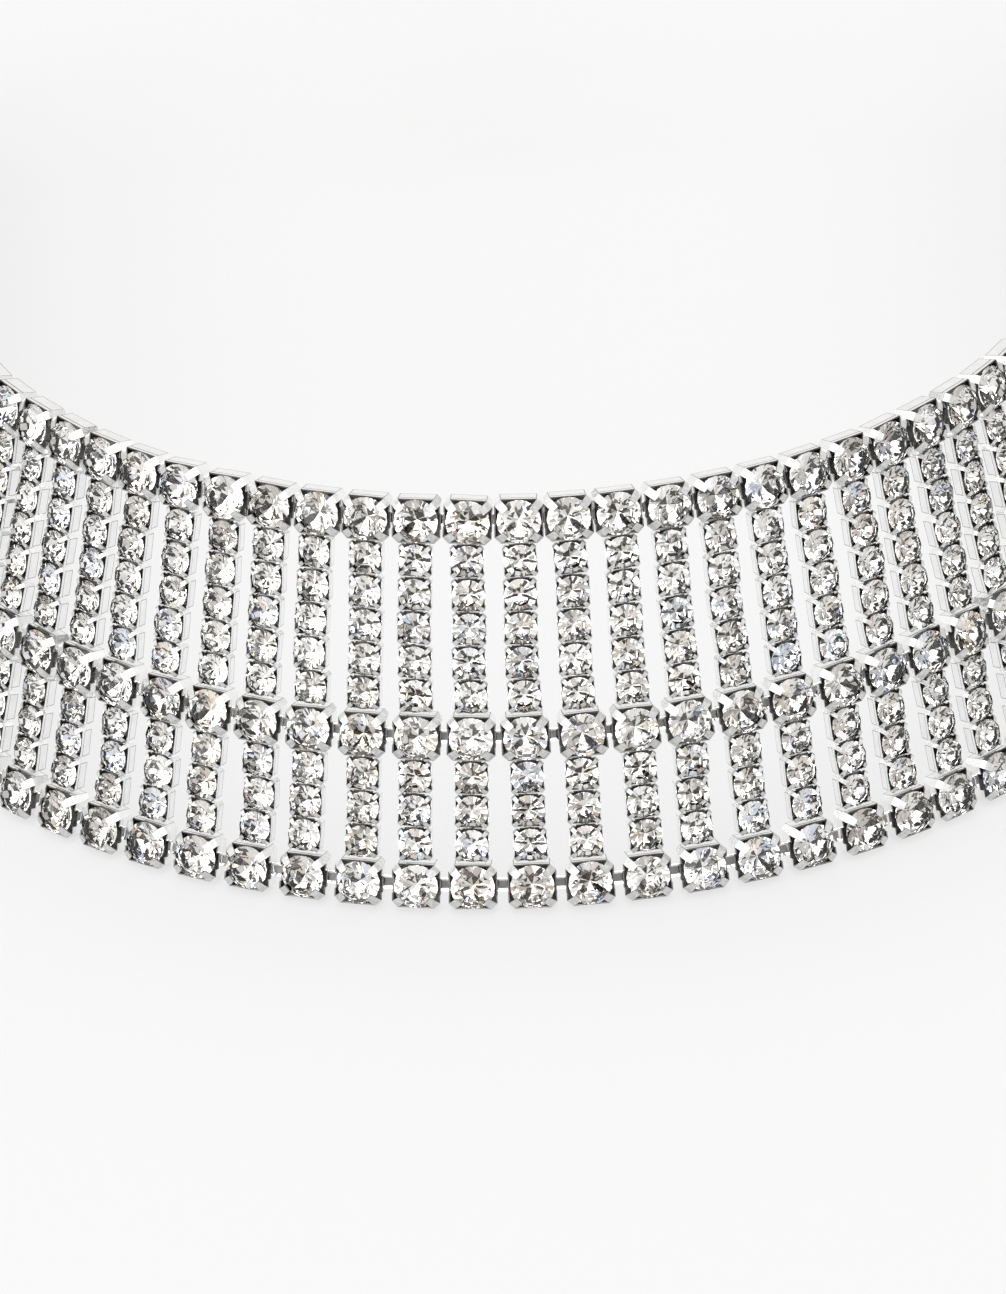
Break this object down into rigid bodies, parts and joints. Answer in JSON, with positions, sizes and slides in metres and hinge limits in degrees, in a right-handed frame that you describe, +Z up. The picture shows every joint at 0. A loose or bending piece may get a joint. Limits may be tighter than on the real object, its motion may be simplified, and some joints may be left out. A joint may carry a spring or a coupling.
{
  "type": "choker necklace",
  "caption": "Ladder collar of round clear stones in square claw cups: level rows joined by upright strands, closed at the back by a short chain and a barrel clasp.",
  "frame": {"origin": "middle of the collar's footprint, on the surface that it stands on", "axes": "+Z up, -Y out of the front of the collar, +X to the right as seen from the front"},
  "size_m": [0.12, 0.1553, 0.0359],
  "materials": {
    "set_stones": "clear faceted stones in bright silver-toned claw cups",
    "silver_plate": "bright silver-toned plate, polished",
    "clear_stone": "clear cut glass, foiled behind"
  },
  "bodies": {
    "root": {"top_row": "set_stones", "middle_row": "set_stones", "bottom_row": "set_stones", "left_end_bar": "silver_plate", "right_end_bar": "silver_plate", "left_chain": "silver_plate", "right_chain": "silver_plate", "barrel_clasp": "silver_plate"}
  },
  "joints": []
}
